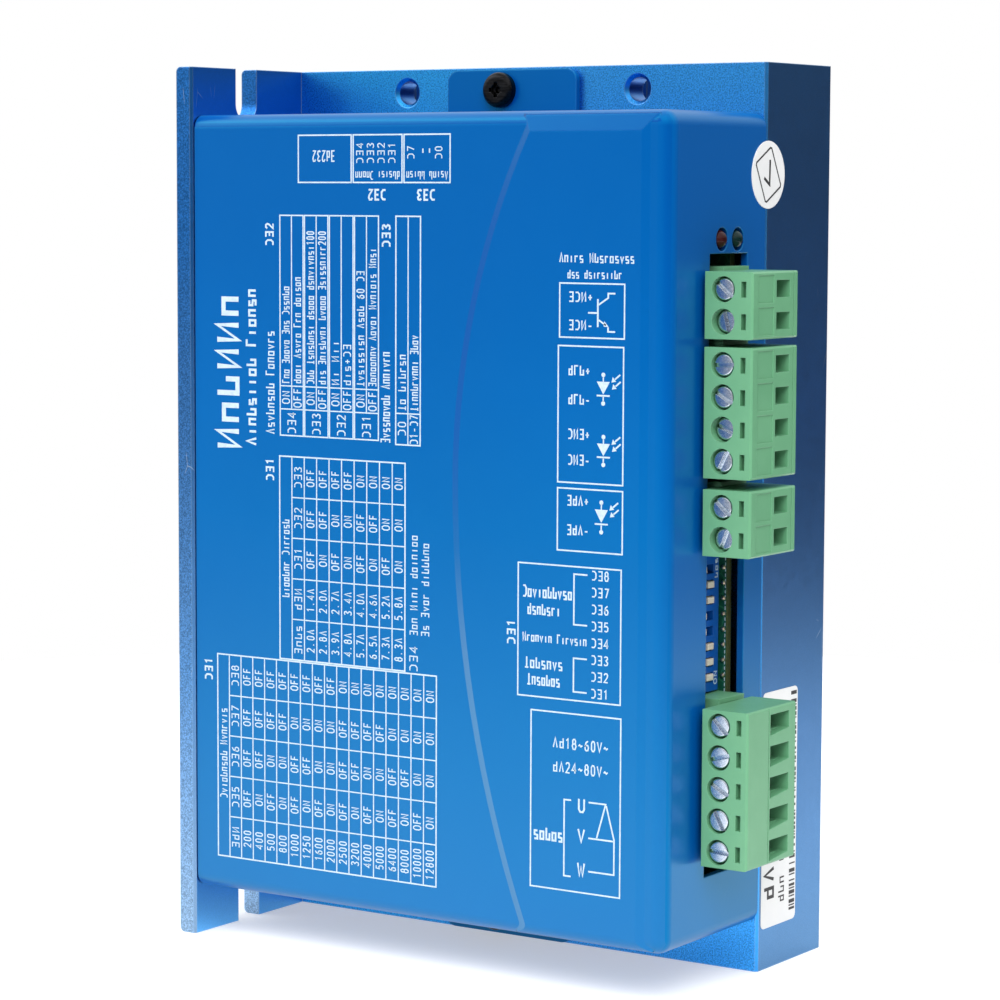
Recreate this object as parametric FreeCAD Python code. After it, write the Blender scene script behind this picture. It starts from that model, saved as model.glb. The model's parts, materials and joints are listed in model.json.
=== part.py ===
import FreeCAD, Part
import math
import os

# Stepper driver module: an L-shaped aluminium heatsink, a bent sheet-metal cover,
# a circuit board between them and four pluggable screw-terminal blocks.
# The module stands on one end of the heatsink. Lengths are in millimetres.
#   X runs from the narrow mounting flange (0) to the terminal side,
#   Y runs from the labelled face of the cover (0) to the tips of the fins,
#   Z runs from one end of the heatsink (0) to the other.

V = FreeCAD.Vector
AX = V(1, 0, 0)
AY = V(0, 1, 0)
AZ = V(0, 0, 1)

# heatsink extrusion
BODY_H = 150.0
BODY_W = 97.5
BODY_D = 53.0
FLANGE_T = 3.3
SIDE_T = 3.3
PLATE_Y0 = 31.1
PLATE_Y1 = 36.0
FIN_T = 1.8
FIN_PITCH = 9.34
FIN_COUNT = 9
FIN_RIB = 0.22
FIN_RIB_STEP = 0.8
EDGE_BREAK = 0.45

# open-ended mounting slots in the flange
SLOT_R = 2.95
SLOT_Y = 15.15
SLOT_IN = 6.0

# chamfered mounting holes through the plate
HOLE_R = 2.0
HOLE_CHAMFER = 0.6
HOLE_DX = 46.7
HOLE_DZ = 142.0

# cover
COVER_X0 = 3.5
COVER_Z0 = 8.4
COVER_Z1 = 141.8
SHEET = 1.2
BEND_R = 2.4
LABEL_Y = 0.5
RAISED_Y = 0.05
ARC_X = 58.46
ARC_Z = 82.0
ARC_R_UP = 125.0
ARC_R_DOWN = 197.0
STEP_SLOPE = 3.11
RAISED_X1 = 92.35
RAISED_Z1 = 138.35
SLOT_Y0 = 13.0
SLOT_Y1 = 25.2
SLOT_Z0 = 19.1
SLOT_Z1 = 119.25
TAB_X0 = 35.8
TAB_X1 = 61.8
TAB_END = 0.4
TAB_R = 2.0

# circuit board
PCB_X0 = 7.0
PCB_X1 = 94.5
PCB_Y0 = 24.8
PCB_Y1 = 26.4
PCB_Z0 = 12.0
PCB_Z1 = 138.8
STANDOFF_R = 3.0
STUD_R = 2.0
STUD_LEN = 2.5
STANDOFFS = [(12.0, 17.0), (12.0, 133.6), (78.0, 15.2), (78.0, 133.6)]

# M3 pan-head screws: two hold the cover, four hold the board
M3_R = 1.45
M3_TAP_R = 1.5
M3_LEN = 6.0
M3_HEAD_R = 3.0
M3_HEAD_H = 1.8
COVER_SCREW_X = 46.7
COVER_SCREW_IN = 3.85

# pluggable terminal blocks: name, ways, centre height, shoulder X, depth in Y
POLE = 5.08
PLUG_X1 = 107.0
PLUG_Y0 = 10.0
PLUGS = [
    ("a", 2, 111.28, 98.4, 14.9),
    ("b", 4, 94.32, 98.4, 14.9),
    ("c", 2, 76.87, 98.4, 14.9),
    ("d", 5, 34.37, 98.7, 16.0),
]
PLUG_EXTRA = {"a": 0.48, "b": 0.45, "c": 0.45, "d": 0.0}
INSERT_X0 = 89.2
INSERT_Y0 = 18.1
INSERT_Y1 = 23.3
HEADER_X0 = 86.5
HEADER_X1 = 98.0
HEADER_Y0 = 16.6
HEADER_WALL = 1.2
HEADER_END = 0.8
HEADER_MARGIN = 0.6
PIN_W = 1.0
PIN_Y = 20.7
SCREW_X = 101.7
TS_HEAD_R = 1.75
TS_HEAD_H = 1.5
TS_SHANK_R = 1.25
TS_TIP_Y = 19.6
TS_CLEAR = 0.05
# slot angle and how far each head sits below the plug's face
TS_LOOK = {
    "a": [(40, 0.45), (75, 1.3)],
    "b": [(178, 0.4), (30, 0.5), (20, 1.25), (118, 0.5)],
    "c": [(42, 0.4), (112, 1.3)],
    "d": [(45, 0.35), (165, 0.35), (30, 0.35), (62, 0.35), (5, 0.35)],
}
CAGE_TRAVEL = 1.8
CAGE_Y0 = 16.8
CAGE_Y1 = 23.2
CAGE_TOP = 1.2
CAGE_WALL = 0.8
CAGE_HALF_Z = 1.9
CAGE_HALF_X = 1.8

# slide switches
DIP_PITCH = 2.54
DIP_Y0 = 15.0
DIP_Y1 = 24.0
DIP_DEEP = 9.5
DIP_FACE = 4.0
DIP8_Z = 59.2
DIP4_X = 41.85
SLIDER_LEN = 2.0
SLIDER_W = 1.1
SLIDER_TRAVEL = 2.4
SLIDER_HIGH_Y = 20.1
# True where the slider rests at the end next to the board
DIP8_STATE = [True, True, True, False, False, True, True, False]
DIP4_STATE = [False, True, False, False]

# rotary switch and serial jack on the top end
ROT_X = 51.7
ROT_Y = 21.1
ROT_W = 7.2
DIAL_R = 2.5
JACK_X = 30.7

OUT = "parts"
MID_X = PLUG_X1 / 2
MID_Y = BODY_D / 2


def box(x0, x1, y0, y1, z0, z1):
    return Part.makeBox(x1 - x0, y1 - y0, z1 - z0, V(x0, y0, z0))


def rod(r, length, start, axis):
    return Part.makeCylinder(r, length, start, axis)


def prism(points, start, along):
    """Flat outline, given as 3-D points on one plane, pushed along a vector."""
    loop = [V(*p) + start for p in points]
    loop.append(loop[0])
    return Part.Face(Part.makePolygon(loop)).extrude(along)


def near(shape, test):
    """Edges of a shape whose midpoint passes a test."""
    found = []
    for e in shape.Edges:
        mid = e.valueAt((e.FirstParameter + e.LastParameter) / 2)
        if test(mid):
            found.append(e)
    return found


def group(shapes):
    return Part.makeCompound(shapes)


def save(name, shape):
    placed = shape.copy()
    placed.translate(V(-MID_X, -MID_Y, 0))
    placed.exportStep(os.path.join(OUT, name + ".step"))


def ends():
    """Height and inward direction of the two ends of the heatsink."""
    return [(0.0, 1.0), (BODY_H, -1.0)]


# ---------------------------------------------------------------- heatsink


def fin_outline(cx):
    """One fin from its root, over the tip and back, with fine ribs on both faces."""
    half = FIN_T / 2
    steps = int((BODY_D - PLATE_Y1 - 2.0) / FIN_RIB_STEP)
    right = [(cx + half, PLATE_Y1)]
    for i in range(steps):
        y = PLATE_Y1 + 1.0 + i * FIN_RIB_STEP
        depth = FIN_RIB if i % 2 else 0.0
        right.append((cx + half - depth, y))
    right.append((cx + half, BODY_D - 0.3))
    right.append((cx + half - 0.3, BODY_D))
    left = [(2 * cx - x, y) for x, y in reversed(right)]
    return right + left


def heatsink():
    c = EDGE_BREAK
    pts = [(0, 0), (FLANGE_T - c, 0), (FLANGE_T, c), (FLANGE_T, PLATE_Y0)]
    pts += [(BODY_W - c, PLATE_Y0), (BODY_W, PLATE_Y0 + c)]
    pts += [(BODY_W, BODY_D), (BODY_W - SIDE_T, BODY_D), (BODY_W - SIDE_T, PLATE_Y1)]
    first = (BODY_W + 2.0) / 2 - FIN_PITCH * (FIN_COUNT - 1) / 2 - 1.0
    for i in reversed(range(FIN_COUNT)):
        pts += fin_outline(first + i * FIN_PITCH)
    pts += [(FLANGE_T, PLATE_Y1), (FLANGE_T, BODY_D), (0, BODY_D)]
    body = prism([(x, y, 0) for x, y in pts], V(0, 0, 0), V(0, 0, BODY_H))
    cutters = []
    for z, inward in ends():
        zc = z + inward * SLOT_IN
        lo = min(z - inward, zc)
        hi = max(z - inward, zc)
        cutters.append(box(-1, FLANGE_T + 1, SLOT_Y - SLOT_R, SLOT_Y + SLOT_R, lo, hi))
        cutters.append(rod(SLOT_R, FLANGE_T + 2, V(-1, SLOT_Y, zc), AX))
        zh = BODY_H / 2 + (z - BODY_H / 2) / (BODY_H / 2) * HOLE_DZ / 2
        for side in (-1, 1):
            x = BODY_W / 2 + 1.0 + side * HOLE_DX / 2
            cutters.append(rod(HOLE_R, PLATE_Y1 - PLATE_Y0, V(x, PLATE_Y0, zh), AY))
            r0 = HOLE_R + HOLE_CHAMFER
            cutters.append(Part.makeCone(r0, HOLE_R, HOLE_CHAMFER, V(x, PLATE_Y0, zh), AY))
        zs = z + inward * COVER_SCREW_IN
        cutters.append(rod(M3_TAP_R, PLATE_Y1 - PLATE_Y0, V(COVER_SCREW_X, PLATE_Y0, zs), AY))
        r = 0.9
        corner = box(-1, r, -1, BODY_D + 1, min(z - inward, z + inward * r),
                     max(z - inward, z + inward * r))
        corner = corner.cut(rod(r, BODY_D + 2, V(r, -1, z + inward * r), AY))
        cutters.append(corner)
    for x, z in STANDOFFS:
        cutters.append(rod(STUD_R, STUD_LEN + 0.1, V(x, PLATE_Y0, z), AY))
    return body.cut(cutters[0].multiFuse(cutters[1:]))


# ---------------------------------------------------------------- cover


def cover_block(front, inset, radius):
    """Solid block under the skin of the cover, bent edges rounded."""
    b = box(COVER_X0 - 5, BODY_W - inset, front, PLATE_Y0 + 5,
            COVER_Z0 + inset, COVER_Z1 - inset)

    def bent(m):
        on_front = abs(m.y - front) < 1e-6
        on_end = min(abs(m.z - COVER_Z0 - inset), abs(m.z - COVER_Z1 + inset)) < 1e-6
        on_side = abs(m.x - BODY_W + inset) < 1e-6
        return (on_front and (on_end or on_side)) or (on_side and on_end)

    return b.makeFillet(radius, near(b, bent))


def bowed_outline(shift, y):
    """The raised part right of the bowed step across the labelled face, at one depth."""
    z0 = COVER_Z0 - 5
    z1 = RAISED_Z1 - shift
    half0 = (z0 - ARC_Z) / 2
    half1 = (z1 - ARC_Z) / 2

    def bow(dz):
        radius = ARC_R_UP if dz > 0 else ARC_R_DOWN
        x = ARC_X + shift + radius - math.sqrt(radius ** 2 - dz ** 2)
        return V(x, y, ARC_Z + dz)

    low_arc = Part.Arc(bow(2 * half0), bow(half0), bow(0)).toShape()
    high_arc = Part.Arc(bow(0), bow(half1), bow(2 * half1)).toShape()
    corner1 = V(RAISED_X1 - shift, y, z1)
    corner0 = V(RAISED_X1 - shift, y, z0)
    lines = [Part.makeLine(bow(2 * half1), corner1), Part.makeLine(corner1, corner0)]
    lines.append(Part.makeLine(corner0, bow(2 * half0)))
    return Part.Wire([low_arc, high_arc] + lines)


def raised_area(shift):
    """Straight-sided block over the raised part of the face."""
    return Part.Face(bowed_outline(shift, -5)).extrude(V(0, 50, 0))


def raised_step():
    """Block over the raised part whose bowed side slopes, so the step is soft."""
    high = bowed_outline(STEP_SLOPE, -1.0)
    low = bowed_outline(-STEP_SLOPE, 1.0)
    return Part.makeLoft([high, low], True, True)


def cover_tab(z_wall, z_end):
    """Lug bent off the end wall and lying on the heatsink plate."""
    lo = min(z_wall, z_end)
    hi = max(z_wall, z_end)
    tab = box(TAB_X0, TAB_X1, PLATE_Y0 - SHEET, PLATE_Y0, lo, hi)

    def outer(m):
        on_end = abs(m.z - z_end) < 1e-6
        on_side = min(abs(m.x - TAB_X0), abs(m.x - TAB_X1)) < 1e-6
        return on_end and on_side

    return tab.makeFillet(TAB_R, near(tab, outer))


def cover():
    outer = cover_block(LABEL_Y, 0.0, BEND_R)
    outer = outer.fuse(cover_block(RAISED_Y, 0.0, BEND_R).common(raised_step()))
    inner = cover_block(LABEL_Y + SHEET, SHEET, BEND_R - SHEET)
    high = cover_block(RAISED_Y + SHEET, SHEET, BEND_R - SHEET).common(raised_area(SHEET))
    shell = outer.cut(inner.fuse(high))
    keep = box(COVER_X0, BODY_W + 1, -1, PLATE_Y0, COVER_Z0 - 1, COVER_Z1 + 1)
    shell = shell.common(keep)
    top_tab = cover_tab(COVER_Z1 - SHEET, BODY_H - TAB_END)
    low_tab = cover_tab(COVER_Z0 + SHEET, 0.25)
    shell = shell.multiFuse([top_tab, low_tab])
    cut = [box(BODY_W - 3, BODY_W + 1, SLOT_Y0, SLOT_Y1, SLOT_Z0, SLOT_Z1)]
    for y in LED_Y:
        cut.append(rod(LED_HOLE_R, 5, V(BODY_W - 3, y, LED_Z), AX))
    cut.append(box(JACK_X - 4.3, JACK_X + 4.3, 14.4, 24.6, COVER_Z1 - 3, COVER_Z1 + 1))
    cut.append(box(DIP4_X - 5.4, DIP4_X + 5.4, 17.6, 24.2, COVER_Z1 - 3, COVER_Z1 + 1))
    cut.append(rod(3.4, 5, V(ROT_X, ROT_Y, COVER_Z1 - 3), AZ))
    for z, inward in ends():
        zs = z + inward * COVER_SCREW_IN
        cut.append(rod(1.7, 4, V(COVER_SCREW_X, PLATE_Y0 - 3, zs), AY))
    return shell.cut(cut[0].multiFuse(cut[1:])).removeSplitter()


# ---------------------------------------------------------------- fasteners


def phillips_cut(x, y, z):
    """Cross recess, a little narrower at its foot."""
    cross = []
    for a, b in ((2.6, 0.75), (0.75, 2.6)):
        p0 = box(x - a / 2, x + a / 2, y - 0.01, y + 0.8, z - b / 2, z + b / 2)
        cross.append(p0)
    cross.append(Part.makeCone(1.0, 0.3, 1.3, V(x, y - 0.01, z), AY))
    return cross[0].multiFuse(cross[1:])


def m3_screw(x, seat_y, z):
    head = rod(M3_HEAD_R, M3_HEAD_H, V(x, seat_y - M3_HEAD_H, z), AY)
    head = head.makeFillet(1.0, near(head, lambda m: abs(m.y - seat_y + M3_HEAD_H) < 1e-6))
    head = head.cut(phillips_cut(x, seat_y - M3_HEAD_H, z))
    shank = rod(M3_R, M3_LEN, V(x, seat_y, z), AY)
    shank = shank.makeChamfer(0.4, near(shank, lambda m: abs(m.y - seat_y - M3_LEN) < 1e-6))
    return head.fuse(shank).removeSplitter()


def m3_screws():
    out = []
    for z, inward in ends():
        out.append(m3_screw(COVER_SCREW_X, PLATE_Y0 - SHEET, z + inward * COVER_SCREW_IN))
    for x, z in STANDOFFS:
        out.append(m3_screw(x, PCB_Y0, z))
    return group(out)


def board_standoffs():
    out = []
    for x, z in STANDOFFS:
        post = rod(STANDOFF_R, PLATE_Y0 - PCB_Y1, V(x, PCB_Y1, z), AY)
        post = post.fuse(rod(STUD_R - 0.02, STUD_LEN, V(x, PLATE_Y0, z), AY))
        bore = rod(M3_TAP_R, 5.4, V(x, PCB_Y1, z), AY)
        out.append(post.cut(bore).removeSplitter())
    return group(out)


# ---------------------------------------------------------------- board


def plug_width(key, ways):
    return ways * POLE + PLUG_EXTRA[key]


def poles(ways, centre):
    """Heights of a plug's poles from its top one down."""
    return [centre + POLE * ((ways - 1) / 2 - i) for i in range(ways)]


def all_poles():
    out = []
    for key, ways, centre, shoulder, depth in PLUGS:
        for i, z in enumerate(poles(ways, centre)):
            out.append((key, i + 1, z))
    return out


def circuit_board():
    board = box(PCB_X0, PCB_X1, PCB_Y0, PCB_Y1, PCB_Z0, PCB_Z1)
    holes = []
    for x, z in STANDOFFS:
        holes.append(rod(1.6, 4, V(x, PCB_Y0 - 1, z), AY))
    for key, i, z in all_poles():
        holes.append(rod(0.75, 4, V(HEADER_X0 - 1.0, PCB_Y0 - 1, z), AY))
    return board.cut(holes[0].multiFuse(holes[1:]))


def header(key, ways, centre):
    """Open-fronted housing that one plug slides into."""
    half = plug_width(key, ways) / 2 + HEADER_MARGIN
    z0 = centre - half
    z1 = centre + half
    body = box(HEADER_X0, HEADER_X1, HEADER_Y0, PCB_Y0, z0, z1)
    room = box(HEADER_X0 + 1.5, HEADER_X1 + 1, HEADER_Y0 + HEADER_WALL,
               PCB_Y0 - HEADER_WALL, z0 + HEADER_END, z1 - HEADER_END)
    cut = [room]
    w = PIN_W / 2 + 0.02
    for z in poles(ways, centre):
        cut.append(box(HEADER_X0 - 1, HEADER_X0 + 2, PIN_Y - w, PIN_Y + w, z - w, z + w))
        cut.append(box(HEADER_X1 - 5.5, HEADER_X1 + 1, HEADER_Y0 - 1,
                       HEADER_Y0 + HEADER_WALL + 0.5, z - 1.1, z + 1.1))
    return body.cut(cut[0].multiFuse(cut[1:]))


def board_headers():
    return group([header(k, n, c) for k, n, c, s, d in PLUGS])


def header_pin(z):
    w = PIN_W / 2
    x0 = HEADER_X0 - 1.0 - w
    arm = box(x0, 97.0, PIN_Y - w, PIN_Y + w, z - w, z + w)
    leg = box(x0, x0 + PIN_W, PIN_Y - w, PCB_Y1 + 1.0, z - w, z + w)
    return arm.fuse(leg).removeSplitter()


def header_pins():
    return group([header_pin(z) for k, i, z in all_poles()])


def tray_chip(x, z, w, h, t):
    """Moulded chip body on the board with its legs merged into two side strips."""
    body = box(x - w / 2, x + w / 2, PCB_Y0 - t, PCB_Y0 - 0.1, z - h / 2, z + h / 2)
    pads = []
    count = int(h / 2.0)
    for i in range(count):
        zz = z - (count - 1) + 2.0 * i
        pads.append(box(x - w / 2 - 1.1, x + w / 2 + 1.1, PCB_Y0 - 0.4, PCB_Y0,
                        zz - 0.35, zz + 0.35))
    return body.multiFuse(pads)


def logic_chips():
    out = [tray_chip(62, 96, 14, 14, 1.5), tray_chip(60, 72, 7.6, 12, 2.4)]
    for i in range(3):
        out.append(tray_chip(42 + 12 * i, 50, 4, 6, 1.6))
    for z in (113.0, 101.0, 90.0, 79.0):
        out.append(tray_chip(78, z, 6.4, 8, 3.6))
    return group(out)


def bulk_capacitors():
    out = []
    for x, z in ((19.0, 34.0), (19.0, 56.0), (41.0, 30.0)):
        can = rod(9.0, 20.5, V(x, PCB_Y0 - 20.5, z), AY)
        can = can.makeFillet(0.8, near(can, lambda m: abs(m.y - PCB_Y0 + 20.5) < 1e-6))
        out.append(can)
    return group(out)


def power_transistors():
    out = []
    for i in range(6):
        x = 18.0 + 11.6 * i
        body = box(x - 5, x + 5, PCB_Y1 + 0.1, PLATE_Y0 - 0.2, 66.0, 75.2)
        tab = box(x - 5, x + 5, PLATE_Y0 - 1.5, PLATE_Y0 - 0.2, 75.2, 81.5)
        tab = tab.cut(rod(1.8, 3, V(x, PLATE_Y0 - 3, 78.6), AY))
        legs = []
        for k in (-1, 0, 1):
            xl = x + 2.54 * k
            legs.append(box(xl - 0.4, xl + 0.4, 28.0, 28.5, 60.0, 66.5))
            legs.append(box(xl - 0.4, xl + 0.4, PCB_Y1, 28.5, 60.0, 60.6))
        out.append(body.multiFuse([tab] + legs).removeSplitter())
    return group(out)


def thermal_pad():
    return box(11.5, 83.0, PLATE_Y0 - 0.2, PLATE_Y0, 64.0, 83.0)


# ---------------------------------------------------------------- switches


def dip_body(ways, centre, face, upright):
    """Right-angle slide switch bank; the row runs along Z or along X."""
    half = ways * DIP_PITCH / 2 + 1.04
    a0 = face - DIP_DEEP

    def part(f0, f1, y0, y1, r0, r1):
        if upright:
            return box(f0, f1, y0, y1, r0, r1)
        return box(r0, r1, y0, y1, f0, f1)

    body = part(a0, face, DIP_Y0, DIP_Y1, centre - half, centre + half)
    feet = [part(face - 2.0, face - 1.0, DIP_Y1 - 0.1, PCB_Y0, centre - half, centre + half)]
    feet.append(part(a0 + 0.5, a0 + 1.5, DIP_Y1 - 0.1, PCB_Y0, centre - half, centre + half))
    body = body.multiFuse(feet)
    cuts = []
    for i in range(ways):
        r = centre + DIP_PITCH * ((ways - 1) / 2 - i)
        cuts.append(part(face - 2.3, face + 1, SLIDER_HIGH_Y - SLIDER_TRAVEL - 0.2,
                         SLIDER_HIGH_Y + SLIDER_LEN + 0.2, r - 0.75, r + 0.75))
    return body.cut(cuts[0].multiFuse(cuts[1:])).removeSplitter()


def dip_switch_bodies():
    eight = dip_body(8, DIP8_Z, BODY_W - DIP_FACE, True)
    four = dip_body(4, DIP4_X, COVER_Z1 - DIP_FACE, False)
    return group([eight, four])


def slider(r, face, high, upright):
    """One slider: a block in its window with a small finger ridge."""
    y0 = SLIDER_HIGH_Y if high else SLIDER_HIGH_Y - SLIDER_TRAVEL
    y1 = y0 + SLIDER_LEN
    w = SLIDER_W / 2
    if upright:
        b = box(face - 2.1, face + 0.35, y0, y1, r - w, r + w)
        return b.makeFillet(0.2, near(b, lambda m: abs(m.x - face - 0.35) < 1e-6))
    b = box(r - w, r + w, y0, y1, face - 2.1, face + 0.35)
    return b.makeFillet(0.2, near(b, lambda m: abs(m.z - face - 0.35) < 1e-6))


def rotary_body():
    z1 = COVER_Z1 - 4.4
    h = ROT_W / 2
    body = box(ROT_X - h, ROT_X + h, ROT_Y - h, PCB_Y0, z1 - 7.6, z1)
    return body.cut(rod(DIAL_R + 0.3, 2.0, V(ROT_X, ROT_Y, z1 - 1.6), AZ))


def rotary_dial():
    """Round dial with an arrow-shaped driver slot."""
    z0 = COVER_Z1 - 5.8
    dial = rod(DIAL_R, 2.6, V(ROT_X, ROT_Y, z0), AZ)
    top = z0 + 2.6
    dial = dial.makeChamfer(0.25, near(dial, lambda m: abs(m.z - top) < 1e-6))
    slot = box(ROT_X - 0.35, ROT_X + 0.35, ROT_Y - 1.7, ROT_Y + 1.2, top - 1.0, top + 1)
    tip = [(-1.0, 0.8, 0), (1.0, 0.8, 0), (0, 2.0, 0)]
    arrow = prism(tip, V(ROT_X, ROT_Y, top - 1.0), V(0, 0, 2))
    return dial.cut(slot.fuse(arrow))


def serial_port_jack():
    """Socket for a four-contact plug, open at the top end of the module."""
    z1 = COVER_Z1 - SHEET - 0.3
    body = box(JACK_X - 4.9, JACK_X + 4.9, 12.8, PCB_Y0, z1 - 17.0, z1)
    mouth = box(JACK_X - 3.85, JACK_X + 3.85, 15.0, 22.0, z1 - 12.0, z1 + 1)
    latch = box(JACK_X - 1.7, JACK_X + 1.7, 21.9, 23.8, z1 - 9.0, z1 + 1)
    return body.cut(mouth.fuse(latch))


# ---------------------------------------------------------------- lamps

LED_Z = 121.5
LED_Y = (16.86, 22.0)
LED_HOLE_R = 1.9
LED_R = 1.5
LED_TIP_X = 98.2


def led(y, bend_x):
    """3 mm lamp facing the terminal side, with two legs bent down to the board."""
    x0 = 91.6
    lens = rod(LED_R, LED_TIP_X - LED_R - x0, V(x0, y, LED_Z), AX)
    dome = Part.makeSphere(LED_R, V(LED_TIP_X - LED_R, y, LED_Z))
    collar = rod(LED_R + 0.35, 0.9, V(x0, y, LED_Z), AX)
    legs = []
    for side in (-1, 1):
        z = LED_Z + side * 0.9
        legs.append(box(bend_x, x0 + 0.5, y - 0.25, y + 0.25, z - 0.25, z + 0.25))
        legs.append(box(bend_x, bend_x + 0.5, y - 0.25, PCB_Y0, z - 0.25, z + 0.25))
    return lens.multiFuse([dome, collar] + legs).removeSplitter()


# ---------------------------------------------------------------- plugs


def plug_housing(key, ways, centre, shoulder, depth):
    """Green moulded plug: tall body outside the case, insert inside the header."""
    half = plug_width(key, ways) / 2
    z0 = centre - half
    z1 = centre + half
    y1 = PLUG_Y0 + depth
    body = box(shoulder, PLUG_X1, PLUG_Y0, y1, z0, z1)
    body = body.makeChamfer(0.3, near(body, lambda m: abs(m.x - PLUG_X1) < 1e-6))
    side = HEADER_END - HEADER_MARGIN + 0.3
    insert = box(INSERT_X0, shoulder + 1, INSERT_Y0, INSERT_Y1, z0 + side, z1 - side)
    body = body.fuse(insert).removeSplitter()
    cut = []
    wide = key == "d"
    y_low = 17.4 if wide else 17.7
    y_high = 23.6 if wide else 22.15
    for z in poles(ways, centre):
        cut.append(rod(2.05, 3.3, V(SCREW_X, PLUG_Y0 - 0.01, z), AY))
        cut.append(rod(TS_SHANK_R + 0.25, 3, V(SCREW_X, PLUG_Y0 + 3, z), AY))
        cut.append(box(SCREW_X - 2.1, SCREW_X + 2.1, 14.6, 23.6, z - 2.2, z + 2.2))
        cut.append(box(SCREW_X, PLUG_X1 + 1, y_low, y_high, z - 1.375, z + 1.375))
        cut.append(box(INSERT_X0 - 1, SCREW_X - 2, 19.4, 22.0, z - 1.3, z + 1.3))
        cut.append(box(104.9, 105.8, PLUG_Y0 - 1, PLUG_Y0 + 1.4, z - 1.25, z + 1.25))
        if wide:
            wedge = [(0, y_low, -1.375), (0, y_low, -2.0), (0, y_high, -1.375)]
            cut.append(prism(wedge, V(PLUG_X1 - 1.6, 0, z), V(3, 0, 0)))
    if not wide:
        for z in poles(ways, centre):
            cut.append(box(PLUG_X1 - 0.15, PLUG_X1 + 1, 11.8, 16.9, z - 2.2, z + 2.2))
        cut.append(box(PLUG_X1 - 0.15, PLUG_X1 + 1, 23.3, 23.5, z0 - 1, z1 + 1))
    else:
        cut.append(box(PLUG_X1 - 0.15, PLUG_X1 + 1, 16.8, 17.05, z0 - 1, z1 + 1))
    return body.cut(cut[0].multiFuse(cut[1:]))


def terminal_screw(key, index, z):
    """Slotted screw along Y; some heads sit lower in their wells than others."""
    angle, low = TS_LOOK[key][index - 1]
    y0 = PLUG_Y0 + low
    head = rod(TS_HEAD_R, TS_HEAD_H, V(SCREW_X, y0, z), AY)
    head = head.makeFillet(0.3, near(head, lambda m: abs(m.y - y0) < 1e-6))
    slot = box(-3, 3, y0 - 1, y0 + 0.8, -0.32, 0.32)
    slot.rotate(V(0, 0, 0), AY, angle)
    slot.translate(V(SCREW_X, 0, z))
    shank = rod(TS_SHANK_R, TS_TIP_Y - y0 - TS_HEAD_H, V(SCREW_X, y0 + TS_HEAD_H, z), AY)
    return head.cut(slot).fuse(shank).removeSplitter()


def clamp_cage(z):
    """Square metal cage that rises along the screw and grips the wire."""
    outer = box(SCREW_X - CAGE_HALF_X, SCREW_X + CAGE_HALF_X, CAGE_Y0, CAGE_Y1,
                z - CAGE_HALF_Z, z + CAGE_HALF_Z)
    through = box(SCREW_X - 5, SCREW_X + 5, CAGE_Y0 + CAGE_TOP, CAGE_Y1 - CAGE_WALL,
                  z - CAGE_HALF_Z + CAGE_WALL / 2, z + CAGE_HALF_Z - CAGE_WALL / 2)
    bore = rod(TS_SHANK_R + TS_CLEAR, 3, V(SCREW_X, CAGE_Y0 - 1, z), AY)
    return outer.cut(through.fuse(bore))


# ---------------------------------------------------------------- stickers


def stickers():
    """Round inspection sticker across the seam and a serial plate below the terminals."""
    t = 0.1
    dot = rod(5.5, t, V(BODY_W, 31.7, 131.8), AX)
    plate = box(BODY_W, BODY_W + t, 32.1, 44.0, 6.9, 46.6)
    plate = plate.makeFillet(1.0, near(plate, lambda m: min(abs(m.y - 32.1), abs(m.y - 44)) < 1e-6
                                       and min(abs(m.z - 6.9), abs(m.z - 46.6)) < 1e-6))
    return group([dot, plate])


def main():
    os.makedirs(OUT, exist_ok=True)
    save("heatsink", heatsink())
    save("cover", cover())
    save("m3_screws", m3_screws())
    save("board_standoffs", board_standoffs())
    save("circuit_board", circuit_board())
    save("board_headers", board_headers())
    save("header_pins", header_pins())
    save("logic_chips", logic_chips())
    save("bulk_capacitors", bulk_capacitors())
    save("power_transistors", power_transistors())
    save("thermal_pad", thermal_pad())
    save("dip_switch_bodies", dip_switch_bodies())
    save("rotary_switch_body", rotary_body())
    save("rotary_dial", rotary_dial())
    save("serial_port_jack", serial_port_jack())
    save("alarm_led", led(LED_Y[0], 87.6))
    save("power_led", led(LED_Y[1], 89.6))
    save("stickers", stickers())
    for key, ways, centre, shoulder, depth in PLUGS:
        save("plug_" + key, plug_housing(key, ways, centre, shoulder, depth))
    for key, i, z in all_poles():
        save(f"screw_{key}{i}", terminal_screw(key, i, z))
        save(f"cage_{key}{i}", clamp_cage(z))
    for i, high in enumerate(DIP8_STATE):
        r = DIP8_Z + DIP_PITCH * (i - 3.5)
        save(f"dip8_slider_{i + 1}", slider(r, BODY_W - DIP_FACE, high, True))
    for i, high in enumerate(DIP4_STATE):
        r = DIP4_X + DIP_PITCH * (i - 1.5)
        save(f"dip4_slider_{i + 1}", slider(r, COVER_Z1 - DIP_FACE, high, False))


main()
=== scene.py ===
import bmesh
import bpy
import json
import math
import random
from mathutils import Matrix, Quaternion, Vector


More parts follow.
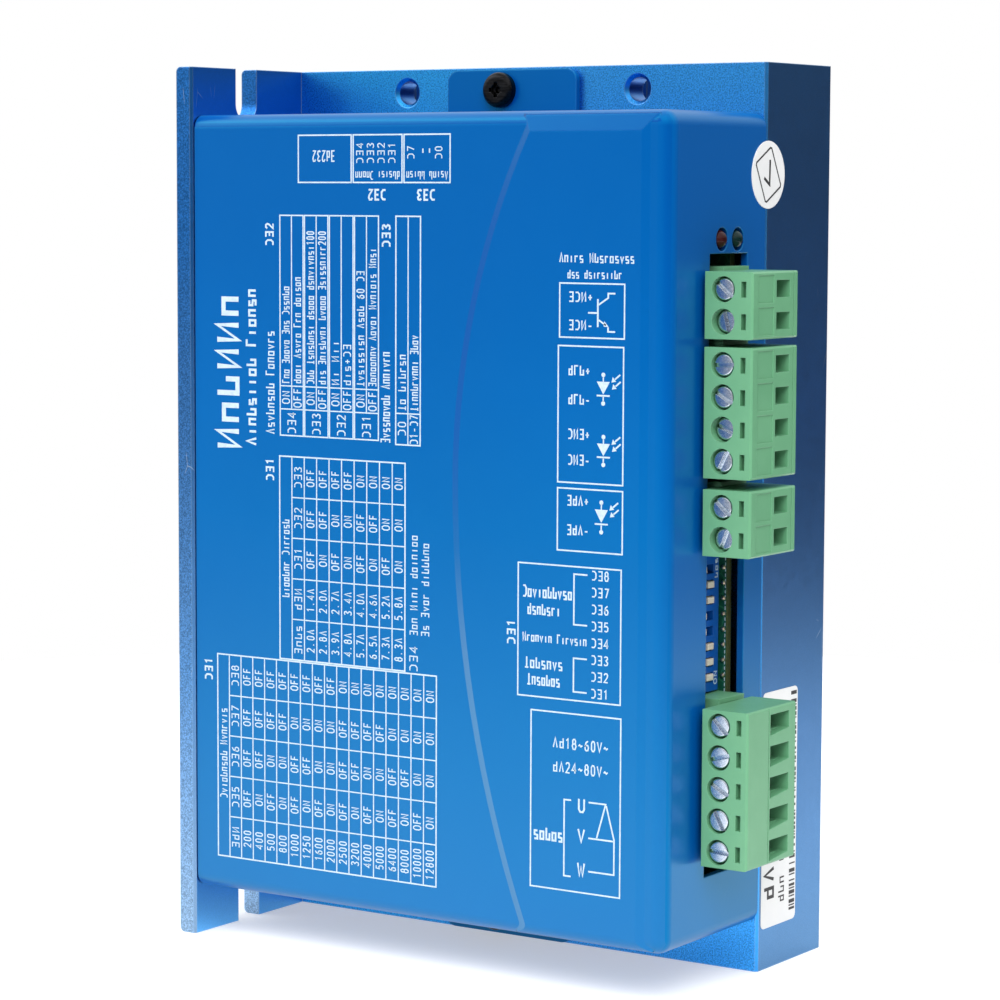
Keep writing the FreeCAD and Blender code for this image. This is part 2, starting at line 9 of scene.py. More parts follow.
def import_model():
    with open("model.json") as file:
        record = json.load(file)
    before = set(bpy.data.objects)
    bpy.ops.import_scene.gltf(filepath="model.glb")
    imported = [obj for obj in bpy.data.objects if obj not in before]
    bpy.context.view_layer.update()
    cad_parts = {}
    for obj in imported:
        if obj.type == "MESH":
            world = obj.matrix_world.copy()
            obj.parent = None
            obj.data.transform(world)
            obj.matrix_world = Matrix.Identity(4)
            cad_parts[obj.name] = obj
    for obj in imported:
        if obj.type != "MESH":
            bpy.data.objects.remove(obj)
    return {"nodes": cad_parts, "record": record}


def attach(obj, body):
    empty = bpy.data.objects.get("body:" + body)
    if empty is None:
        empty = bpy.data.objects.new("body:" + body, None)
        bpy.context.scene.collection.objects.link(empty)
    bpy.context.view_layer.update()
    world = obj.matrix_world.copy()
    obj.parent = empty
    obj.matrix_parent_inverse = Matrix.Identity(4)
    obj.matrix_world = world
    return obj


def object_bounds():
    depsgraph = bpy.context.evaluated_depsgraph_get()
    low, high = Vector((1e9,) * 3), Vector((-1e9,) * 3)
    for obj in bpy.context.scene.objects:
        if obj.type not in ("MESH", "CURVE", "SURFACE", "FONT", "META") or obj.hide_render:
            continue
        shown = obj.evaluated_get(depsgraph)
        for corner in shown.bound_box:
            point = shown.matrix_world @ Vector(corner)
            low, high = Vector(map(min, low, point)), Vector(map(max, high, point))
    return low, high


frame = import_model()
CAD_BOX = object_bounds()
NODES = frame["nodes"]
MM = 0.001

# heatsink: how far the flange, its edge and the parts of the plate reach from the left
FLANGE_EDGE = 3.4 * MM
FLANGE_REACH = 6 * MM
PLATE_LEFT = 20 * MM
PLATE_RIGHT = 60 * MM

# normal of the shallow slopes of the cover front: at least this along one axis, and nearly -Y
STEP_LEAN = 0.15
STEP_FRONT = -0.93


# ------------------------------------------------------------------ materials


class Mat:
    """A procedural material: a Principled shader and short calls that add nodes to it."""

    def __init__(self, name, color=(0.5, 0.5, 0.5), **sockets):
        self.m = bpy.data.materials.new(name)
        self.m.use_nodes = True
        self.nt = self.m.node_tree
        self.nt.nodes.clear()
        out = self.nt.nodes.new("ShaderNodeOutputMaterial")
        self.p = self.nt.nodes.new("ShaderNodeBsdfPrincipled")
        self.nt.links.new(self.p.outputs[0], out.inputs[0])
        self.p.inputs["Base Color"].default_value = (*color, 1)
        for k, v in sockets.items():
            self.p.inputs[k.replace("_", " ")].default_value = v
        self.pos = self.nt.nodes.new("ShaderNodeTexCoord").outputs["Object"]

    def link(self, a, b):
        self.nt.links.new(a, b)

    def node(self, kind, **props):
        n = self.nt.nodes.new(kind)
        for k, v in props.items():
            setattr(n, k, v)
        return n

    def scaled(self, sx, sy, sz):
        n = self.node("ShaderNodeMapping")
        n.inputs["Scale"].default_value = (sx, sy, sz)
        self.link(self.pos, n.inputs["Vector"])
        return n.outputs[0]

    def noise(self, scale, detail=3.0, rough=0.55, vec=None, distort=0.0):
        n = self.node("ShaderNodeTexNoise")
        n.inputs["Scale"].default_value = scale
        n.inputs["Detail"].default_value = detail
        n.inputs["Roughness"].default_value = rough
        n.inputs["Distortion"].default_value = distort
        self.link(vec or self.pos, n.inputs["Vector"])
        return n.outputs["Fac"]

    def voronoi(self, scale, vec=None, feature="F1"):
        n = self.node("ShaderNodeTexVoronoi", feature=feature)
        n.inputs["Scale"].default_value = scale
        self.link(vec or self.pos, n.inputs["Vector"])
        return n.outputs["Distance"]

    def ramp(self, fac, stops):
        n = self.node("ShaderNodeValToRGB")
        els = n.color_ramp.elements
        while len(els) < len(stops):
            els.new(0.5)
        for e, (at, col) in zip(els, stops):
            e.position = at
            if isinstance(col, (int, float)):
                col = (col, col, col)
            e.color = (*col, 1)
        self.link(fac, n.inputs[0])
        return n.outputs[0]

    def mix(self, fac, a, b, mode="MIX"):
        n = self.node("ShaderNodeMix", data_type="RGBA", blend_type=mode)
        for key, v in ((0, fac), (6, a), (7, b)):
            if isinstance(v, bpy.types.NodeSocket):
                self.link(v, n.inputs[key])
            elif key == 0:
                n.inputs[0].default_value = v
            else:
                n.inputs[key].default_value = (*v, 1)
        return n.outputs[2]

    def math(self, op, a, b=0.0, c=0.0):
        n = self.node("ShaderNodeMath", operation=op)
        for i, v in enumerate((a, b, c)):
            if isinstance(v, bpy.types.NodeSocket):
                self.link(v, n.inputs[i])
            else:
                n.inputs[i].default_value = v
        return n.outputs[0]

    def along(self, which, low, high):
        """0 up to the first place on an axis, 1 from the second on."""
        n = self.node("ShaderNodeMapRange")
        self.link(self.axis(which), n.inputs[0])
        n.inputs[1].default_value, n.inputs[2].default_value = low, high
        return n.outputs[0]

    def height(self):
        """0 at the foot of the module, 1 at its top."""
        return self.along("Z", 0.0, CAD_BOX[1].z)

    def axis(self, which):
        n = self.node("ShaderNodeSeparateXYZ")
        self.link(self.pos, n.inputs[0])
        return n.outputs["XYZ".index(which)]

    def color(self, socket):
        self.link(socket, self.p.inputs["Base Color"])
        return self

    def rough(self, fac, lo, hi):
        n = self.node("ShaderNodeMapRange")
        self.link(fac, n.inputs[0])
        n.inputs[3].default_value = lo
        n.inputs[4].default_value = hi
        self.link(n.outputs[0], self.p.inputs["Roughness"])
        return self

    def edge_round(self, radius):
        """Shading normal that rounds sharp edges over a small radius."""
        b = self.node("ShaderNodeBevel", samples=6)
        b.inputs["Radius"].default_value = radius
        self.link(b.outputs[0], self.p.inputs["Normal"])
        return self

    def bump(self, height, strength, distance):
        n = self.node("ShaderNodeBump")
        n.inputs["Strength"].default_value = strength
        n.inputs["Distance"].default_value = distance
        self.link(height, n.inputs["Height"])
        last = self.p.inputs["Normal"].links
        if last:
            self.link(last[0].from_socket, n.inputs["Normal"])
        self.link(n.outputs[0], self.p.inputs["Normal"])
        return self


def worn_edges(m, radius, amount):
    """Mask that is 1 on sharp convex edges, from the difference of a rounded and a true normal."""
    b = m.node("ShaderNodeBevel", samples=6)
    b.inputs["Radius"].default_value = radius
    g = m.node("ShaderNodeNewGeometry")
    d = m.node("ShaderNodeVectorMath", operation="DOT_PRODUCT")
    m.link(b.outputs[0], d.inputs[0])
    m.link(g.outputs["Normal"], d.inputs[1])
    return m.math("MULTIPLY", m.math("SUBTRACT", 1.0, d.outputs["Value"]), amount)


def true_normal(m):
    """X, Y and Z of the normal of the flat face itself."""
    g = m.node("ShaderNodeNewGeometry")
    parts = m.node("ShaderNodeSeparateXYZ")
    m.link(g.outputs["True Normal"], parts.inputs[0])
    return parts.outputs


def leaning(m, normal, axis, sign, least):
    """1 where the normal has more than least along an axis, 0 elsewhere."""
    return m.math("GREATER_THAN", m.math("MULTIPLY", normal["XYZ".index(axis)], sign), least)


def facing(m, axis, sign):
    """1 on faces that look along the given axis, 0 elsewhere."""
    return leaning(m, true_normal(m), axis, sign, 0.5)


def step_face(m, axis, sign):
    """1 on the shallow slope between the two levels of the cover front that leans along the given axis."""
    normal = true_normal(m)
    leans = leaning(m, normal, axis, sign, STEP_LEAN)
    return m.math("MULTIPLY", leans, m.math("LESS_THAN", normal["Y"], STEP_FRONT))


def speckle(m, cells, size, noise, least):
    """Sparse round specks: cell centres of a Voronoi pattern, kept where a coarse noise is high."""
    at_centre = m.ramp(m.voronoi(cells), [(0.0, 1.0), (size, 0.0)])
    kept = m.ramp(m.noise(noise, 1), [(least, 0.0), (least + 0.02, 1.0)])
    return m.math("MULTIPLY", at_centre, kept)


def anodised():
    """Blue anodised aluminium, bead-blasted: fine sparkle, faint scratches, bright worn edges, and painted
    light that changes with height and with the way a face looks.
    """
    m = Mat("anodised", Metallic=1.0, Roughness=0.3)
    left = CAD_BOX[0].x
    height = m.height()
    cloud = m.noise(28, 4)
    drift = m.ramp(cloud, [(0.3, 0.93), (0.7, 1.06)])

    # walls and fins, with painted shading that changes with height; the inside of the flange is a clearer
    # blue that is a painted reflection of the floor, brightest at the foot
    walls = m.ramp(height, [(0.0, (0.088, 0.245, 0.485)), (0.35, (0.076, 0.243, 0.56)),
                            (0.62, (0.070, 0.242, 0.69)), (1.0, (0.062, 0.232, 0.60))])
    inner_painted_floor_light = m.ramp(height, [(0.0, (0.14, 0.50, 0.95)), (0.25, (0.09, 0.38, 0.86)),
                            (1.0, (0.036, 0.27, 0.79))])
    on_flange = m.math("LESS_THAN", m.axis("X"), left + FLANGE_REACH)
    walls = m.mix(1.0, m.mix(on_flange, walls, inner_painted_floor_light), drift, "MULTIPLY")

    # faces that look to the front get a brighter copy of the colour, as painted light: the plate, lightest
    # towards the flange, and the narrow edge of the flange
    plate = m.ramp(cloud, [(0.3, (0.042, 0.335, 0.86)), (0.7, (0.060, 0.385, 0.95))])
    right = m.along("X", left + PLATE_LEFT, left + PLATE_RIGHT)
    plate = m.mix(right, (0.040, 0.42, 1.0), plate)
    col = m.mix(facing(m, "Y", -1), walls, plate)
    # painted reflection of the floor on the narrow edge of the flange: whiter towards the foot, deeper blue
    # at the top
    rim = m.math("LESS_THAN", m.axis("X"), left + FLANGE_EDGE)
    rim = m.math("MULTIPLY", rim, facing(m, "Y", -1))
    rim_painted_reflection = m.ramp(height, [(0.0, (0.245, 0.385, 0.56)), (0.3, (0.11, 0.285, 0.59)),
                               (0.8, (0.028, 0.185, 0.56))])
    col = m.mix(rim, col, rim_painted_reflection)

    # blasted grain, weaker on the outer wall
    grain = m.noise(6200, 2, 0.75)
    strong = m.ramp(m.noise(3900, 2, 0.75), [(0.38, 0.62), (0.62, 1.36)])
    weak = m.ramp(grain, [(0.40, 0.92), (0.62, 1.07)])
    col = m.mix(1.0, col, m.mix(facing(m, "X", 1), strong, weak), "MULTIPLY")

    # dust, bright edges and hairline scratches
    col = m.mix(speckle(m, 330, 0.03, 140, 0.60), col, (0.55, 0.68, 0.80))
    col = m.mix(worn_edges(m, 0.0004, 3.0), col, (0.35, 0.58, 0.86))
    marks = m.voronoi(260, m.scaled(1, 1, 0.35), "DISTANCE_TO_EDGE")
    thin = m.ramp(marks, [(0.0, 1.0), (0.012, 0.0)])
    rare = m.ramp(m.noise(95, 2), [(0.66, 0.0), (0.70, 1.0)])
    m.color(m.mix(m.math("MULTIPLY", thin, rare), col, (0.45, 0.62, 0.85)))
    m.rough(m.noise(900, 3), 0.26, 0.40)
    m.edge_round(0.0002)
    m.bump(grain, 0.3, 0.00006)
    return m.m


def cover_paint():
    """Satin blue paint over bent sheet: slight orange peel, faint dust specks, and painted light on the
    front and on the slopes of the step.
    """
    m = Mat("cover_paint", IOR=1.85, Specular_Tint=(0.03, 0.95, 1.0, 1))
    height = m.height()
    base = m.ramp(m.noise(14, 3), [(0.3, (0.000, 0.072, 0.308)), (0.7, (0.000, 0.080, 0.330))])

    # the front gets painted light: a reddish painted reflection of the floor at the foot, and painted shade
    # that deepens the blue at the top
    painted_floor_light = m.ramp(height, [(0.0, (0.018, 0.004, 0.0)), (0.25, (0.008, 0.004, 0.0)),
                            (0.5, (0.001, 0.002, 0.0)), (0.7, 0.0)])
    painted_top_shade = m.ramp(height, [(0.5, 1.0), (0.65, (1.0, 0.93, 1.0)), (0.8, (1.0, 0.79, 0.93)),
                             (1.0, (1.0, 0.70, 0.88))])
    front = m.mix(1.0, m.mix(1.0, base, painted_floor_light, "ADD"), painted_top_shade, "MULTIPLY")
    base = m.mix(facing(m, "Y", -1), base, front)

    col = m.mix(speckle(m, 420, 0.035, 160, 0.68), base, (0.15, 0.30, 0.52))
    col = m.mix(worn_edges(m, 0.0005, 1.2), col, (0.04, 0.20, 0.52))

    # painted light on the slope of the bowed step that leans to the left: a painted highlight on its lower
    # part, painted shade towards the top
    step_painted_light = m.ramp(height, [(0.0, (0.058, 0.128, 0.325)), (0.36, (0.050, 0.118, 0.320)),
                                (0.47, (0.002, 0.078, 0.310)), (0.6, (0.000, 0.053, 0.300)),
                                (0.8, (0.000, 0.040, 0.275)), (1.0, (0.000, 0.012, 0.215))])
    col = m.mix(step_face(m, "X", -1), col, step_painted_light)
    # painted shade on the slopes that lean upwards, which dims the highlight along the top bend
    m.color(m.mix(step_face(m, "Z", 1), col, (0.0, 0.014, 0.24)))
    m.rough(m.noise(240, 3), 0.27, 0.34)
    m.edge_round(0.0003)
    m.bump(m.noise(1400, 2), 0.05, 0.0001)
    return m.m


def brighter(color, factor, extra):
    return tuple(min(1, c * factor + extra) for c in color)


def moulded(name, low, high, rough=(0.38, 0.5), radius=0.00015, **sockets):
    """Moulded plastic: soft colour drift, fine texture, rounded edges."""
    m = Mat(name, **sockets)
    base = m.ramp(m.noise(120, 3), [(0.3, low), (0.7, high)])
    col = m.mix(worn_edges(m, radius * 1.5, 1.0), base, brighter(high, 1.35, 0.02))
    m.color(col)
    m.rough(m.noise(1500, 3), *rough)
    m.edge_round(radius)
    m.bump(m.noise(5200, 2), 0.08, 0.00005)
    return m.m


def brushed(name, low, high, rough, scale=(300, 4000, 4000), radius=0.00012):
    """Metal with fine streaks."""
    m = Mat(name, Metallic=1.0)
    streak = m.noise(1.0, 4, 0.6, m.scaled(*scale))
    base = m.ramp(streak, [(0.35, low), (0.65, high)])
    m.color(m.mix(worn_edges(m, radius, 2.0), base, brighter(high, 1.2, 0.05)))
    m.rough(streak, *rough)
    m.edge_round(radius)
    m.bump(streak, 0.12, 0.00005)
    return m.m


def printed(name, low, high):
    """Screen-printed ink: slightly uneven cover and a dry surface."""
    m = Mat(name, Roughness=0.55)
    m.color(m.ramp(m.noise(900, 3, 0.7), [(0.3, low), (0.6, high)]))
    m.rough(m.noise(2600, 2), 0.5, 0.62)
    m.bump(m.noise(5200, 2), 0.06, 0.00003)
    return m.m


def board():
    """Solder mask: dark green over a faint pattern of traces, olive at the cut edge."""
    m = Mat("board_green", Roughness=0.3, Coat_Weight=0.4, Coat_Roughness=0.1)
    cells = m.voronoi(420, None, "DISTANCE_TO_EDGE")
    trace = m.ramp(cells, [(0.03, 1.0), (0.05, 0.0)])
    col = m.mix(trace, (0.007, 0.075, 0.045), (0.02, 0.13, 0.07))
    fibre = m.noise(1.0, 3, 0.6, m.scaled(500, 4000, 500))
    side = m.math("LESS_THAN", m.math("ABSOLUTE", true_normal(m)["Y"]), 0.5)
    cut = m.ramp(fibre, [(0.3, (0.055, 0.075, 0.03)), (0.7, (0.11, 0.13, 0.06))])
    m.color(m.mix(side, col, cut))
    m.bump(trace, 0.2, 0.00003)
    return m.m


def lens(name, color):
    """Coloured clear resin of a lamp that is off."""
    m = Mat(name, color, Roughness=0.08, Transmission_Weight=0.3, IOR=1.32)
    core = m.ramp(m.noise(800, 2), [(0.3, color), (0.7, brighter(color, 1.5, 0.01))])
    m.color(core)
    m.bump(m.noise(1500, 2), 0.03, 0.00005)
    return m.m


MATS = {
    "anodised": anodised(),
    "cover_paint": cover_paint(),
    "black_steel": brushed("black_steel", (0.010, 0.010, 0.011), (0.03, 0.03, 0.032), (0.25, 0.42)),
    "brass": brushed("brass", (0.62, 0.44, 0.18), (0.75, 0.56, 0.26), (0.22, 0.35)),
    "board_green": board(),
    "terminal_green": moulded("terminal_green", (0.112, 0.318, 0.170), (0.130, 0.350, 0.190), (0.34, 0.46)),
    "tinned_pin": brushed("tinned_pin", (0.6, 0.6, 0.58), (0.78, 0.78, 0.76), (0.18, 0.3)),
    "black_plastic": moulded("black_plastic", (0.012, 0.012, 0.013), (0.02, 0.02, 0.022)),
    "capacitor_sleeve": moulded("capacitor_sleeve", (0.010, 0.012, 0.03), (0.016, 0.02, 0.05), (0.2, 0.3)),
    "pad_grey": moulded("pad_grey", (0.30, 0.31, 0.33), (0.38, 0.39, 0.41), (0.7, 0.8)),
    "switch_blue": moulded("switch_blue", (0.0, 0.075, 0.34), (0.002, 0.09, 0.40), (0.3, 0.4)),
    "white_plastic": moulded("white_plastic", (0.60, 0.53, 0.44), (0.72, 0.66, 0.56)),
    "red_lens": lens("red_lens", (0.030, 0.001, 0.002)),
    "green_lens": lens("green_lens", (0.001, 0.018, 0.018)),
    "sticker_white": moulded("sticker_white", (0.74, 0.75, 0.76), (0.80, 0.80, 0.80), (0.5, 0.6)),
    "label_ink": printed("label_ink", (0.40, 0.51, 0.60), (0.50, 0.61, 0.70)),
    "black_ink": printed("black_ink", (0.012, 0.012, 0.014), (0.03, 0.03, 0.033)),
    "solder": brushed("solder", (0.42, 0.33, 0.24), (0.62, 0.52, 0.40), (0.25, 0.4)),
    "zinc_steel": brushed("zinc_steel", (0.52, 0.58, 0.66), (0.74, 0.80, 0.88), (0.16, 0.3),
                          scale=(4000, 600, 4000)),
}

for row in frame["record"]["subparts"]:
    node = NODES[row["node"]]
    node.data.materials.clear()
    node.data.materials.append(MATS[row["material_slot"]])


# ------------------------------------------------------------------ printing

# strokes of each sign in a box 0.6 wide and 1 high; a list that ends in None is a closed loop
SIGNS = {
    "0": [[(0.1, 0.2), (0.1, 0.8), (0.22, 1), (0.38, 1), (0.5, 0.8), (0.5, 0.2), (0.38, 0),
           (0.22, 0), None]],
    "1": [[(0.12, 0.8), (0.32, 1), (0.32, 0)]],
    "2": [[(0.08, 0.82), (0.2, 1), (0.42, 1), (0.52, 0.8), (0.46, 0.55), (0.08, 0), (0.54, 0)]],
    "3": [[(0.08, 0.9), (0.25, 1), (0.45, 0.95), (0.5, 0.75), (0.3, 0.54), (0.52, 0.3),
           (0.44, 0.05), (0.2, 0), (0.06, 0.12)]],
    "4": [[(0.42, 0), (0.42, 1), (0.05, 0.3), (0.56, 0.3)]],
    "5": [[(0.5, 1), (0.14, 1), (0.1, 0.56), (0.36, 0.62), (0.52, 0.42), (0.48, 0.1), (0.3, 0),
           (0.08, 0.08)]],
    "6": [[(0.46, 0.98), (0.2, 0.8), (0.09, 0.4)],
          [(0.1, 0.14), (0.1, 0.42), (0.24, 0.56), (0.42, 0.54), (0.52, 0.32), (0.44, 0.04),
           (0.22, 0), None]],
    "7": [[(0.08, 1), (0.54, 1), (0.24, 0)]],
    "8": [[(0.14, 0.6), (0.12, 0.86), (0.24, 1), (0.38, 1), (0.48, 0.84), (0.45, 0.6), (0.53, 0.3),
           (0.42, 0), (0.18, 0), (0.07, 0.3), None],
          [(0.2, 0.54), (0.4, 0.54)]],
    "9": [[(0.1, 0.55), (0.1, 0.86), (0.22, 1), (0.4, 1), (0.5, 0.84), (0.5, 0.58), (0.38, 0.44),
           (0.2, 0.44), None],
          [(0.5, 0.55), (0.42, 0.2), (0.16, 0)]],
    "O": [[(0.06, 0.25), (0.06, 0.75), (0.2, 1), (0.42, 1), (0.56, 0.75), (0.56, 0.25), (0.42, 0),
           (0.2, 0), None]],
    "N": [[(0.08, 0), (0.08, 1), (0.52, 0), (0.52, 1)]],
    "F": [[(0.52, 1), (0.1, 1), (0.1, 0)], [(0.18, 0.52), (0.44, 0.52)]],
    "U": [[(0.08, 1), (0.08, 0.2), (0.2, 0), (0.42, 0), (0.54, 0.2), (0.54, 1)]],
    "V": [[(0.04, 1), (0.3, 0), (0.56, 1)]],
    "W": [[(0.02, 1), (0.16, 0), (0.3, 0.7), (0.44, 0), (0.58, 1)]],
    "+": [[(0.08, 0.45), (0.24, 0.45)], [(0.3, 0.16), (0.3, 0.74)], [(0.36, 0.45), (0.52, 0.45)]],
    "-": [[(0.12, 0.4), (0.48, 0.4)]],
    "~": [[(0.06, 0.38), (0.2, 0.52), (0.38, 0.34), (0.54, 0.48)]],
    ".": [[(0.24, 0.0), (0.24, 0.14)]],
    # nonsense signs that stand for words: tall ones, then small ones
    "a": [[(0.06, 0.98), (0.36, 0.98), (0.54, 0.76), (0.54, 0.24), (0.36, 0.02), (0.06, 0.02)]],
    "b": [[(0.06, 1), (0.52, 1), (0.52, 0), (0.06, 0)], [(0.14, 0.5), (0.44, 0.5)]],
    "c": [[(0.3, 1), (0.3, 0.1)], [(0.06, 0.02), (0.54, 0.02)]],
    "d": [[(0.06, 0), (0.3, 0.98), (0.54, 0)]],
    "e": [[(0.08, 0), (0.08, 0.98), (0.54, 0.98)]],
    "h": [[(0.08, 1), (0.08, 0.06), (0.5, 0.06), (0.5, 0.6)]],
    "k": [[(0.5, 1), (0.5, 0.04), (0.12, 0.04), (0.12, 0.6), (0.42, 0.6)]],
    "n": [[(0.52, 0.0), (0.52, 1), (0.08, 0), (0.08, 1)]],
    "f": [[(0.08, 0), (0.08, 0.7), (0.5, 0.7), (0.5, 0)]],
    "g": [[(0.08, 0.04), (0.08, 0.66), (0.5, 0.66), (0.5, 0.04), None]],
    "i": [[(0.3, 0), (0.3, 0.7)]],
    "j": [[(0.5, 0.68), (0.12, 0.68), (0.12, 0.36), (0.5, 0.32), (0.5, 0.02), (0.1, 0.02)]],
    "l": [[(0.08, 0.7), (0.3, 0.02), (0.52, 0.7)]],
    "p": [[(0.1, 0), (0.1, 0.66), (0.5, 0.66)]],
}
CAPS, SMALLS = "abcdehkn", "fgijlpghfij"

# quarter-turns of a line of text
ACROSS, UP, FLIPPED = 0, 1, 2

# stroke weights, as a part of the sign's height
REGULAR, MEDIUM, SEMIBOLD, BOLD = 0.13, 0.15, 0.16, 0.2

# line widths in mm: frames, table rules, circuit symbols
FRAME_LINE, RULE, SYMBOL_LINE = 0.24, 0.2, 0.26

# where a rule ends: at the inside of the frame, or just clear of it and of the rules it meets
INSET = FRAME_LINE / 2
GAP = INSET + 0.01

# room for one sign in a table cell, and the usual height of small print, in mm
CELL_PITCH = 0.98
SMALL_PRINT = 1.45


def nonsense(rng, *lengths):
    """Words of the given lengths in signs that spell nothing."""
    return " ".join(rng.choice(CAPS) + "".join(rng.choice(SMALLS) for _ in range(n - 1)) for n in lengths)


class Ink:
    """Thin closed prisms on a flat face. place(a, b, d) maps a point of the face, d mm proud of it."""

    def __init__(self, place, proud=0.03, sunk=0.04):
        self.place, self.proud, self.sunk = place, proud, sunk
        self.verts, self.faces = [], []

    def shell(self, left, right, closed):
        """Closed strip between two rows of points."""
        n, k = len(left), len(self.verts)
        for row in (left, right):
            for d in (self.proud, -self.sunk):
                self.verts += [self.place(a, b, d) for a, b in row]
        lt, lb, rt, rb = k, k + n, k + 2 * n, k + 3 * n
        for i in range(n if closed else n - 1):
            j = (i + 1) % n
            self.faces += [(lt + i, lt + j, rt + j, rt + i), (lb + i, rb + i, rb + j, lb + j),
                           (lt + i, lb + i, lb + j, lt + j), (rt + i, rt + j, rb + j, rb + i)]
        if not closed:
            for i in (0, n - 1):
                self.faces.append((lt + i, rt + i, rb + i, lb + i))

    def stroke(self, pts, width, closed=False):
        """Line of constant width with mitred corners."""
        n, left, right = len(pts), [], []
        for i, (a, b) in enumerate(pts):
            prev = pts[i - 1] if closed or i else None
            nxt = pts[(i + 1) % n] if closed or i < n - 1 else None
            dirs = []
            for p, q in ((prev, (a, b)), ((a, b), nxt)):
                if p and q:
                    length = math.hypot(q[0] - p[0], q[1] - p[1])
                    dirs.append(((q[0] - p[0]) / length, (q[1] - p[1]) / length))
            da, db = sum(d[0] for d in dirs), sum(d[1] for d in dirs)
            length = math.hypot(da, db) or 1.0
            na, nb = -db / length, da / length
            reach = width / 2 / max(0.55, na * -dirs[0][1] + nb * dirs[0][0])
            left.append((a + na * reach, b + nb * reach))
            right.append((a - na * reach, b - nb * reach))
        self.shell(left, right, closed)

    def patch(self, pts):
        """Filled convex outline."""
        n, k = len(pts), len(self.verts)
        for d in (self.proud, -self.sunk):
            self.verts += [self.place(a, b, d) for a, b in pts]
        self.faces += [tuple(range(k, k + n)), tuple(range(k + 2 * n - 1, k + n - 1, -1))]
        self.faces += [(k + i, k + n + i, k + n + (i + 1) % n, k + (i + 1) % n) for i in range(n)]

    def dot(self, a, b, r, n=12):
        turns = [2 * math.pi * i / n for i in range(n)]
        self.patch([(a + r * math.cos(t), b + r * math.sin(t)) for t in turns])

    def frame(self, a0, a1, b0, b1, width=FRAME_LINE):
        self.stroke([(a0, b0), (a1, b0), (a1, b1), (a0, b1)], width, True)

    def bar(self, a0, b0, a1, b1, width=FRAME_LINE):
        self.stroke([(a0, b0), (a1, b1)], width)

    def text(self, words, a, b, height, length, turn=ACROSS, weight=REGULAR, centre=False):
        """One line from (a, b) along turn quarter-turns, spread over the given length."""
        step = length / (len(words) - 0.25)
        wide = step * 0.75 / 0.6
        ca, sa = ((1, 0), (0, 1), (-1, 0), (0, -1))[turn]
        if centre:
            a, b = a - ca * length / 2 + sa * height / 2, b - sa * length / 2 - ca * height / 2
        for i, sign in enumerate(words):
            for path in SIGNS.get(sign, ()):
                closed = path[-1] is None
                pts = []
                for p in path[:-1] if closed else path:
                    u, v = i * step + p[0] * wide, p[1] * height
                    pts.append((a + ca * u - sa * v, b + sa * u + ca * v))
                self.stroke(pts, height * weight, closed)

    def build(self, name, material, body="module"):
        """Turn what was drawn so far into one piece that rides on a body."""
        me = bpy.data.meshes.new(name)
        me.from_pydata([tuple(c * MM for c in v) for v in self.verts], [], self.faces)
        bm = bmesh.new()
        bm.from_mesh(me)
        bmesh.ops.recalc_face_normals(bm, faces=bm.faces)
        bm.to_mesh(me)
        bm.free()
        o = bpy.data.objects.new(name, me)
        bpy.context.collection.objects.link(o)
        me.materials.append(material)
        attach(o, body)


CORNER = [c / MM for c in CAD_BOX[0]]

# faces that carry print, in mm: how far behind the front, or how far from the flange face
LABEL_LEVEL, RAISED_LEVEL, BOARD_LEVEL = 0.5, 0.05, 24.8
STICKER_LEVEL, SWITCH_LEVEL = 97.6, 93.5

# sliders of the eight-way switch
SLIDERS, SLIDER_PITCH = 8, 2.54


def on_front(level):
    """Points of a face that looks along -Y, level mm behind the front of the module."""
    return lambda a, b, d: (CORNER[0] + a, CORNER[1] + level - d, CORNER[2] + b)


def on_side(level):
    """Points of a face that looks along +X, level mm from the flange face."""
    return lambda a, b, d: (CORNER[0] + level + d, CORNER[1] + a, CORNER[2] + b)


def cell_text(ink, words, a, b, pitch, height=SMALL_PRINT):
    """Turned text, centred on a point, with the same room for every sign."""
    ink.text(words, a, b, height, pitch * len(words), UP, centre=True)


def state_columns(ink, first_a, pitch, centres, numbers, switches):
    """One column per setting: its number, then ON or OFF for each switch in the last rows."""
    for i, value in enumerate(numbers):
        a = first_a + pitch * (i + 0.5)
        cell_text(ink, value, a, centres[0], CELL_PITCH)
        for r, b in enumerate(centres[len(centres) - switches:]):
            cell_text(ink, "ON" if i >> r & 1 else "OFF", a, b, CELL_PITCH)


def grid(ink, a0, a1, b0, b1, columns, rows):
    """Ruled table whose first column, the title, is not divided into rows."""
    ink.frame(a0, a1, b0, b1)
    pitch, tall = (a1 - a0) / columns, (b1 - b0) / rows
    for i in range(1, columns):
        ink.bar(a0 + pitch * i, b0 + GAP, a0 + pitch * i, b1 - GAP, RULE)
    for i in range(1, columns):
        for r in range(1, rows):
            ink.bar(a0 + pitch * i + GAP, b0 + tall * r, a0 + pitch * (i + 1) - GAP, b0 + tall * r, RULE)
    return pitch, [b0 + tall * (r + 0.5) for r in range(rows)]


def print_title(ink, rng):
    """Large name and a line below it, both turned."""
    ink.text(nonsense(rng, 3) + "n" + nonsense(rng, 2), 12.9, 85.2, 4.6, 26.0, UP, 0.19)
    ink.text(nonsense(rng, 9, 6), 16.6, 86.0, 2.0, 26.4, UP, BOLD)


